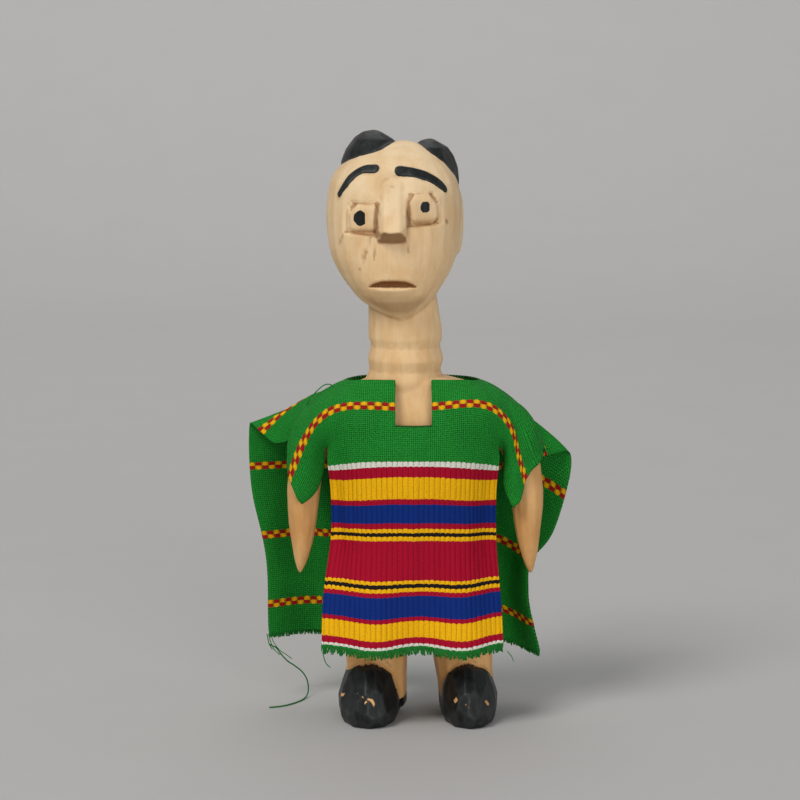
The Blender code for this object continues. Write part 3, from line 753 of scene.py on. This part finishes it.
# Woven robe
# The cloth lies in rows across its width. A row gives its place along the cloth from the shoulder line, its
# height at the middle, how steeply it falls and how far back it lies, at ROW_KNOTS from the middle outwards
ROW_KNOTS = (0.0, 20.0, 30.0, 40.0, 59.0)
FRONT_ROWS = {
    -1: [
        (0.0, 121.5, (0, 7, 22, 44, 76), (-14.2, -8.5, -1.0, 0.5, 2.0)),
        (12.5, 112.6, (0, 4, 30, 58, 72), (-17.2, -16.4, -13.5, -11.5, -9.0)),
        (18.8, 106.4, (0, 3, 36, 72, 56), (-18.2, -16.8, -13.2, -9.8, -10.2)),
        (25.0, 100.2, (0, 2, 30, 84, 22), (-18.8, -15.8, -11.0, -5.0, -8.8)),
        (34.0, 91.6, (0, 1, 2, 2, 2), (-19.3, -14.8, -9.1, -7.5, -7.5)),
        (62.0, 63.6, (0, 0, 0, 0, 0), (-19.4, -14.0, -7.6, -6.0, -6.0)),
        (82.0, 43.8, (0, 0, 0, 0, 0), (-21.0, -20.0, -16.2, -13.0, -13.0)),
        (99.0, 27.0, (0, 0, -1, -1, -1), (-22.5, -23.4, -21.0, -19.0, -19.0)),
    ],
    1: [
        (0.0, 121.5, (0, 8, 24, 50, 76), (-14.2, -8.5, -1.0, 0.5, 2.0)),
        (12.5, 112.6, (0, 2, 38, 70, 72), (-17.2, -16.4, -13.5, -10.5, -7.0)),
        (18.8, 106.4, (0, 2, 40, 78, 64), (-18.2, -16.8, -13.2, -9.5, -9.6)),
        (25.0, 100.2, (0, 2, 30, 86, 50), (-18.8, -15.8, -11.0, -4.6, -8.4)),
        (34.0, 91.6, (0, 1, 2, 2, 2), (-19.3, -14.8, -9.1, -7.5, -7.5)),
        (62.0, 63.6, (0, 0, 0, 0, 0), (-19.4, -14.0, -7.6, -6.0, -6.0)),
        (82.0, 43.8, (0, 0, 0, 0, 0), (-21.0, -18.4, -13.2, -10.0, -10.0)),
        (99.0, 27.0, (0, 0, -2, -2, -2), (-22.5, -23.0, -19.0, -17.0, -17.0)),
    ],
}
BACK_ROWS = {
    -1: [
        (0.0, 121.5, (0, 7, 22, 44, 76), (14.2, 9.5, 0.5, 0.5, 2.0)),
        (-6.0, 118.0, (0, 6, 20, 40, 62), (16.4, 12.4, 9.6, 9.0, 9.0)),
        (-12.5, 112.0, (0, -4, 4, 28, 42), (17.6, 15.5, 13.6, 12.4, 11.5)),
        (-18.0, 106.8, (0, -4, 2, 10, 20), (18.6, 17.4, 16.4, 15.6, 15.0)),
        (-25.0, 99.6, (0, 0, 1, 4, 8), (19.4, 18.8, 18.4, 17.6, 17.0)),
        (-37.5, 86.6, (0, 0, 0, 1, 2), (20.2, 20.4, 20.0, 21.0, 18.5)),
        (-62.5, 61.4, (0, 0, 1, 1, 1), (21.0, 25.5, 20.5, 24.5, 18.5)),
        (-99.0, 24.4, (0, 0, 1, 1, 1), (21.0, 27.0, 21.0, 26.0, 20.0)),
    ],
    1: [
        (0.0, 121.5, (0, 8, 24, 50, 76), (14.2, 9.5, 0.5, 0.5, 2.0)),
        (-6.0, 118.0, (0, 7, 20, 44, 76), (16.4, 12.4, 9.6, 8.4, 7.0)),
        (-12.5, 112.0, (0, -1, 13, 44, 84), (17.6, 15.5, 13.2, 12.4, 12.0)),
        (-18.0, 106.8, (0, 0, 2, 24, 66), (18.6, 17.4, 15.4, 14.2, 13.6)),
        (-25.0, 99.6, (0, 0, 0, 8, 50), (19.4, 18.6, 17.4, 16.6, 15.0)),
        (-37.5, 86.6, (0, 1, 5, 20, 34), (20.2, 23.0, 20.0, 22.0, 16.5)),
        (-50.0, 74.0, (0, 2, 8, 24, 34), (20.6, 26.0, 21.0, 25.0, 17.0)),
        (-62.5, 61.4, (0, 3, 10, 22, 28), (21.0, 28.0, 20.5, 27.0, 16.0)),
        (-75.0, 48.6, (0, 4, 10, 18, 20), (21.0, 28.5, 20.5, 27.0, 15.0)),
        (-99.0, 24.4, (0, 5, 11, 13, 8), (21.0, 28.5, 21.5, 26.5, 15.0)),
    ],
}
# Sizes of the flat cloth in millimetres, with the slot and the gaps below the sleeves
CLOTH_MIDDLE_X = -0.6
HALF_WIDTH = 59.0
HALF_LENGTH = 99.0
NECK_HALF = 28.0
NECK_DROP = 3.0
SLOT_HALF = 6.15
SLOT_DEPTH = 18.9
SLEEVE_DEPTH = 25.0
PANEL_HALF = 32.5
CLOTH_THICKNESS = 0.75
CLOTH_CLEARANCE = 1.3
STEEPEST = 0.93
WALK_STEP = 0.5
ACROSS_STOPS = (-HALF_WIDTH, -PANEL_HALF, -NECK_HALF, -SLOT_HALF,
                SLOT_HALF, NECK_HALF, PANEL_HALF, HALF_WIDTH)
ACROSS_CELLS = (27, 10, 49, 27, 49, 10, 27)
FRONT_STOPS = (0.0, SLOT_DEPTH, SLEEVE_DEPTH, HALF_LENGTH - 1.6)
FRONT_CELLS = (24, 10, 100)
BACK_CELLS = 106
# Weave: thread spacing, ribs of the striped block, checker rows
THREAD_PITCH = 0.72
RIB_PITCH = 65.0 / 35
RIB_HEIGHT = 0.36
BLOCK_TOP = 33.6
BLOCK_BOTTOM = 96.4
CHECKER_ROWS = (12.5, -12.5, -37.5, -62.5, -87.5)
CHECKER_BLOCK = 2.41
CHECKER_HALF = 1.35
# Dark stitches behind the shoulder line: from and to across, from and to along, and their spacing
STITCHES_ACROSS = (13.0, 26.0)
STITCHES_BEHIND = (0.4, 3.2)
STITCH_PITCH = 0.55
# Stripes of the front, from the top down: height of each, and its yarn
STRIPES = [
    (2.0, "white"), (3.8, "crimson"), (7.7, "yellow"), (1.9, "crimson"), (6.6, "blue"), (1.9, "crimson"),
    (1.4, "yellow"), (1.3, "black"), (1.5, "yellow"), (12.9, "crimson"), (1.1, "yellow"), (1.3, "black"),
    (1.2, "yellow"), (1.4, "crimson"), (7.0, "blue"), (1.4, "crimson"), (5.7, "yellow"), (2.2, "crimson"),
    (0.9, "white"),
]
YARNS = {
    "white": (0.74, 0.73, 0.62, 1.0),
    "crimson": (0.40, 0.002, 0.022, 1.0),
    "yellow": (0.90, 0.47, 0.003, 1.0),
    "blue": (0.0025, 0.026, 0.19, 1.0),
    "black": (0.012, 0.009, 0.008, 1.0),
    "red": (0.36, 0.006, 0.012, 1.0),
}


def spread(stops, cells):
    """Places between stops, in equal steps from each to the next."""
    places = [stops[0]]
    for start, end, count in zip(stops, stops[1:], cells):
        places += [start + (end - start) * (k + 1) / count for k in range(count)]
    return places


def smooth_between(places, knots, values):
    """Values at places, on a smooth curve through the values known at its knots."""
    knots = np.array(knots, float)
    values = np.array(values, float)
    slopes = np.gradient(values, knots, axis=0)
    k = np.clip(np.searchsorted(knots, places) - 1, 0, len(knots) - 2)
    span = knots[k + 1] - knots[k]
    u = np.clip((places - knots[k]) / span, 0.0, 1.0)
    return (values[k] * (1 + 2 * u) * (1 - u) ** 2 + slopes[k] * span * u * (1 - u) ** 2
            + values[k + 1] * u ** 2 * (3 - 2 * u) + slopes[k + 1] * span * u ** 2 * (u - 1))


def row_at(along, side, front):
    """Height at the middle, falls and depths of the row at a place along the cloth."""
    rows = FRONT_ROWS[side] if front else list(reversed(BACK_ROWS[side]))
    knots = [row[0] for row in rows]
    values = smooth_between(along, knots, [(row[1], *row[2], *row[3]) for row in rows])
    return values[0], values[1:6], values[6:11]


def walk_across(along, side, front):
    """Points of one row from the middle outwards, a short step apart."""
    height, falls, depths = row_at(along, side, front)
    reach = np.arange(0.0, HALF_WIDTH + WALK_STEP, WALK_STEP)
    fall = np.radians(smooth_between(reach[:-1] + WALK_STEP / 2, ROW_KNOTS, falls))
    ahead = smooth_between(reach[1:], ROW_KNOTS, depths)
    spot = [0.0, depths[0], height]
    line = [tuple(spot)]
    for angle, depth in zip(fall, ahead):
        turn = max(-STEEPEST, min(STEEPEST, (depth - spot[1]) / WALK_STEP))
        level = math.sqrt(1 - turn ** 2) * WALK_STEP
        spot[0] += level * math.cos(angle)
        spot[1] += WALK_STEP * turn
        spot[2] -= level * math.sin(angle)
        line.append(tuple(spot))
    return reach, np.array(line) * (side, 1, 1) + (CLOTH_MIDDLE_X, 0, 0)


def cloth_row(along, across, front):
    """Where each place across the cloth lies, at one place along it."""
    halves = {side: walk_across(along, side, front) for side in (-1, 1)}
    spots = []
    for s in across:
        reach, line = halves[-1 if s < 0 else 1]
        spots.append([np.interp(abs(s), reach, line[:, k]) for k in range(3)])
    return np.array(spots)


def panel_waves(spots, across, along):
    """The hem of the front swings forward in two low waves and sags a little there."""
    share = np.clip((along - 45.0) / 50.0, 0, 1) ** 1.5
    wave = np.exp(-((across + 13.0) / 8.5) ** 2) + np.exp(-((across - 17.0) / 8.5) ** 2)
    spots[:, 1] -= 2.2 * share * wave - 1.2 * share * np.exp(-((across - 2.0) / 6.0) ** 2)
    spots[:, 2] -= 1.1 * share * wave
    return spots


def in_cloth(s, t, front):
    """Whether a cell of the flat cloth is cloth, and not slot or the gap below a sleeve."""
    if front and abs(s) < SLOT_HALF and t < SLOT_DEPTH:
        return False
    return not front or t < SLEEVE_DEPTH or abs(s) < PANEL_HALF


def weft_bend(s, t):
    """How far the woven lines of the front lie above or below their straight places."""
    u = min(1.0, (s / PANEL_HALF) ** 2)
    high = 1 - min(1.0, max(0.0, (t - 40.0) / 26.0))
    middle = 1 - min(1.0, max(0.0, (t - 60.0) / 24.0))
    rising = min(1.0, max(0.0, (t - SLEEVE_DEPTH) / 8.0))
    return rising * (1.6 * u * high + 1.6 * (u - 1) * middle)


def robe_sheet():
    """The cloth as one fine surface, with its flat places as a map."""
    across = np.array(spread(ACROSS_STOPS, ACROSS_CELLS))
    mesh = bmesh.new()
    flat_map = mesh.loops.layers.uv.new("flat")
    spots, flats = {}, {}
    for front, along in ((True, spread(FRONT_STOPS, FRONT_CELLS)),
                         (False, spread((0.0, -HALF_LENGTH), (BACK_CELLS,)))):
        rows = np.array([cloth_row(t, across, front) for t in along])
        lowered = np.array([[t] * len(across) for t in along])
        if not front:
            drop = NECK_DROP * np.sqrt(np.clip(1 - (across / NECK_HALF) ** 2, 0, 1))
            lowered = lowered - drop * (1 + lowered / HALF_LENGTH)
            for i, k in itertools.product(range(len(across)), range(3)):
                rows[:, i, k] = np.interp(-lowered[:, i], -np.array(along), rows[:, i, k])
        for j, t in enumerate(along):
            row = panel_waves(rows[j], across, t) if front else rows[j]
            for i, s in enumerate(across):
                shared = j == 0 and abs(s) >= NECK_HALF - 0.01
                spots[front, i, j] = spots[True, i, 0] if shared and not front else place(row[i])
                flats[front, i, j] = (s, t - weft_bend(s, t) if front else lowered[j, i])
        corners_made = {}
        for j in range(len(along) - 1):
            for i in range(len(across) - 1):
                middle = ((across[i] + across[i + 1]) / 2, (along[j] + along[j + 1]) / 2)
                if not in_cloth(middle[0], middle[1], front):
                    continue
                ring = [(i, j), (i + 1, j), (i + 1, j + 1), (i, j + 1)]
                if front:
                    ring.reverse()
                made = []
                for key in ring:
                    if key not in corners_made:
                        corners_made[key] = mesh.verts.new(spots[(front, *key)])
                    made.append(corners_made[key])
                face = mesh.faces.new(made)
                face.smooth = True
                for loop, key in zip(face.loops, ring):
                    s, t = flats[(front, *key)]
                    loop[flat_map].uv = (s / (2 * HALF_WIDTH) + 0.5, t / (2 * HALF_LENGTH) + 0.5)
    bmesh.ops.remove_doubles(mesh, verts=mesh.verts, dist=1e-6)
    data = bpy.data.meshes.new("woven_robe")
    mesh.to_mesh(data)
    obj = bpy.data.objects.new("woven_robe", data)
    bpy.context.collection.objects.link(obj)
    return obj


def flat_places(data):
    """Each corner's place on the flat cloth, across and along."""
    count = len(data.vertices)
    flat = np.empty(len(data.loops) * 2)
    data.uv_layers["flat"].data.foreach_get("uv", flat)
    owner = np.empty(len(data.loops), dtype=int)
    data.loops.foreach_get("vertex_index", owner)
    places = np.zeros((count, 2))
    places[owner] = flat.reshape(-1, 2)
    return (places[:, 0] - 0.5) * 2 * HALF_WIDTH, (places[:, 1] - 0.5) * 2 * HALF_LENGTH


def raise_ribs(data):
    """Cord ribs of the striped block, the checker rows standing proud, and a soft unevenness."""
    points = corners(data)
    s, t = flat_places(data)
    block = np.clip((t - BLOCK_TOP) / 0.6, 0, 1) * np.clip((BLOCK_BOTTOM - t) / 0.6, 0, 1)
    width = 1 + 0.12 * np.sin(s * 1.7) + 0.08 * np.sin(s * 0.61 + 1.0)
    lift = block * RIB_HEIGHT * (np.abs(np.sin(math.pi * s / RIB_PITCH)) ** 0.7 - 0.6) * width
    for row in CHECKER_ROWS:
        lift += 0.22 * np.clip(1 - np.abs(t - row) / (CHECKER_HALF + 0.4), 0, 1) ** 0.5
    soft = np.array([noise.noise(Vector((a / 9.0, b / 14.0, 3.0))) for a, b in zip(s, t)])
    lift += 0.35 * soft
    move_corners(data, points + outward(data) * lift[:, None])


def cloth_finish():
    finish = Finish("striped_weave", Roughness=0.72)
    finish.feed("Specular IOR Level", 0.11)
    flat = finish.node("ShaderNodeUVMap", {"uv_map": "flat"})
    split = finish.node("ShaderNodeSeparateXYZ", {}, {0: flat})
    down = Value(finish, split.socket.node.outputs["Y"])
    s = (split - 0.5) * (2 * HALF_WIDTH)
    t = (down - 0.5) * (2 * HALF_LENGTH)
    where = finish.node("ShaderNodeCombineXYZ", {}, {"X": s, "Y": t})
    warp = (s * (math.pi / THREAD_PITCH)).sine()
    weft = (t * (math.pi / THREAD_PITCH)).sine()
    over = warp * weft
    weave = (over > 0.0) * abs(weft) + (over < 0.0) * abs(warp)
    patches = finish.cloud(where, 7.0)
    lines = finish.cloud(finish.stretched(where, (1.6, 0.12, 1.0)), 1.0)
    knots = finish.cloud(where, 0.55, detail=1.0)
    tone = 0.6 * weave + 0.2 * patches + 0.2 * lines + 0.7 * (knots - 0.5)
    green = finish.mix(tone.ramp(0.1, 0.95), (0.0005, 0.03, 0.002, 1.0), (0.018, 0.33, 0.036, 1.0))

    swerve = (finish.cloud(finish.stretched(where, (0.25, 0.06, 1.0)), 1.0) - 0.5) * 0.9
    rib = abs(((s + swerve) * (math.pi / RIB_PITCH)).sine())
    ragged = t + (rib - 0.5) * 0.25 + (finish.cloud(where, 1.2) - 0.5) * 0.7
    # Painted shade in the furrows between the ribs, with random tone from the lines and knots
    furrow_shade = 1 - rib.ramp(0.0, 0.62)
    strength = 0.95 - 0.6 * furrow_shade + 0.6 * (lines - 0.5) + 0.9 * (knots - 0.5)
    colour = green
    top = BLOCK_TOP - 0.4
    for height, yarn_name in STRIPES:
        shown = (ragged > top) * (ragged < top + height)
        colour = finish.mix(shown, colour, YARNS[yarn_name])
        top += height
    in_block = (ragged > BLOCK_TOP - 0.4) * (ragged < top)
    shade = finish.mix(strength.smaller(1.0).larger(0.0), (0.36, 0.30, 0.34, 1.0), (1.0, 1.0, 1.0, 1.0))
    colour = finish.mix(in_block, colour, finish.mix(1.0, colour, shade, "MULTIPLY"))

    beside = (abs(s) - SLOT_HALF) / CHECKER_BLOCK
    bead = (beside.fraction() * math.pi).sine()
    for row in CHECKER_ROWS:
        off = t - row + (knots - 0.5) * 0.5
        lower = off > 0.0
        swap = ((beside.whole() + lower) * 0.5).fraction() > 0.25
        block = finish.mix(swap, YARNS["yellow"], YARNS["red"])
        block = finish.mix((1 - bead) * 0.6, block, (0.12, 0.05, 0.004, 1.0))
        colour = finish.mix(abs(off) < CHECKER_HALF - 0.2 + 0.35 * bead, colour, block)
        if row == CHECKER_ROWS[0]:
            rows_shown = abs(off) < CHECKER_HALF
        else:
            rows_shown = rows_shown.larger(abs(off) < CHECKER_HALF)
    sewn = (t < -STITCHES_BEHIND[0]) * (t > -STITCHES_BEHIND[1])
    sewn = sewn * (abs(s) > STITCHES_ACROSS[0]) * (abs(s) < STITCHES_ACROSS[1])
    stitch = sewn * ((s * (math.pi / STITCH_PITCH)).sine() > -0.3)
    slot_edge = (abs(s) < SLOT_HALF + 0.2) * (t > SLOT_DEPTH - 0.2) * (t < SLOT_DEPTH + 0.8)
    colour = finish.mix(stitch.larger(slot_edge * 0.6), colour, YARNS["black"])
    finish.feed("Base Color", colour)
    finish.bump(weave * (1 - 0.6 * in_block) + 0.5 * rows_shown * bead + 0.4 * lines + 0.5 * knots, 0.14, 0.8)
    return finish.material


def woven_robe(man):
    robe = robe_sheet()
    offset = (CLOTH_CLEARANCE + CLOTH_THICKNESS / 2) * MM
    finish_with(robe, "SHRINKWRAP", target=man, wrap_method="NEAREST_SURFACEPOINT", wrap_mode="OUTSIDE",
                offset=offset)
    points = corners(robe.data)
    move_corners(robe.data, evened(robe.data, points, 2))
    raise_ribs(robe.data)
    finish_with(robe, "SOLIDIFY", thickness=CLOTH_THICKNESS * MM, offset=0.0, use_even_offset=False)
    robe.data.materials.append(cloth_finish())
    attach(robe, "root")
    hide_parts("robe")
    return robe


# Frayed edges
FRINGE_DIAMETER = 0.46
# Fringes: on the front or not, half width, number of ends and the longest of them
FRINGES = [(True, 32.3, 230, 2.6), (False, 58.6, 330, 1.5)]
# Loose ends: diameter and the points it runs through
FRAYS = [
    (0.42, [(-38.0, -0.6, 111.0), (-36.4, -1.0, 113.4), (-34.0, -1.6, 116.2), (-31.4, -2.2, 118.2),
            (-29.2, -2.6, 118.2), (-28.6, -3.2, 117.0), (-29.0, -3.8, 115.6), (-30.2, -4.2, 114.0)]),
    (0.35, [(-53.4, 21.2, 24.2), (-53.0, 21.0, 22.4), (-52.6, 20.6, 20.6), (-51.4, 20.4, 18.6)]),
    (0.3, [(-52.8, 21.6, 24.0), (-52.0, 21.2, 21.0), (-50.6, 20.8, 18.2), (-48.6, 21.0, 16.4)]),
    (0.3, [(-51.8, 21.4, 24.0), (-51.2, 20.8, 21.6), (-49.0, 20.2, 18.6), (-46.4, 20.6, 16.6),
           (-44.4, 21.4, 14.9)]),
    (0.35, [(-32.0, -20.6, 26.4), (-31.0, -21.4, 23.4), (-29.4, -21.8, 21.9)]),
    (0.3, [(32.0, -19.0, 27.0), (33.4, -20.2, 25.6), (34.2, -20.8, 23.8)]),
]


def sheet_place(s, t, front):
    """The place of one spot of the flat cloth, in millimetres."""
    row = cloth_row(t, np.array([s]), front)
    if front:
        row = panel_waves(row, np.array([s]), t)
    return row[0]


def threads(name, lines, material):
    """Short threads as one closed piece: each is its diameter and its points."""
    data = bpy.data.curves.new(name, "CURVE")
    data.dimensions = "3D"
    data.bevel_depth = MM / 2
    data.bevel_resolution = 1
    data.use_fill_caps = True
    for diameter, line in lines:
        spline = data.splines.new("POLY")
        spline.points.add(len(line) - 1)
        for spot, point in zip(spline.points, line):
            spot.co = (*place(point), 1.0)
            spot.radius = diameter
    obj = bpy.data.objects.new(name, data)
    bpy.context.collection.objects.link(obj)
    choose(obj)
    bpy.ops.object.convert(target="MESH")
    obj = bpy.context.object
    obj.data.materials.clear()
    obj.data.materials.append(material)
    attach(obj, "root")
    return obj


def hem_fringe(material):
    """Frayed ends along the front's hem, and shorter ones along the back's."""
    random = np.random.default_rng(11)
    lines = []
    for front, half_width, count, longest in FRINGES:
        edge = HALF_LENGTH - 1.8 if front else -HALF_LENGTH + 0.2
        for s in np.linspace(-half_width, half_width, count):
            start = sheet_place(s, edge, front)
            length = longest * random.uniform(0.55, 1.0)
            lean = random.uniform(-0.5, 0.5, 2) * length * 0.7
            out = -1 if front else 0.2
            line = [start + (0, 0.25 * out, 0.5), start + (0.3 * lean[0], 0.35 * out, -0.35 * length),
                    start + (lean[0], 0.2 * out + 0.5 * lean[1], -length)]
            lines.append((FRINGE_DIAMETER * random.uniform(0.8, 1.3), line))
    return threads("hem_fringe", lines, material)


photo_camera()
studio()
plain_floor()
GREEN_YARN = thread_finish()
loose_thread(GREEN_YARN)
MAN = carved_man()
ROBE = woven_robe(MAN)
FRINGE = hem_fringe(GREEN_YARN)
LOOSE_ENDS = threads("loose_ends", [(size, through(line, 4)) for size, line in FRAYS], GREEN_YARN)
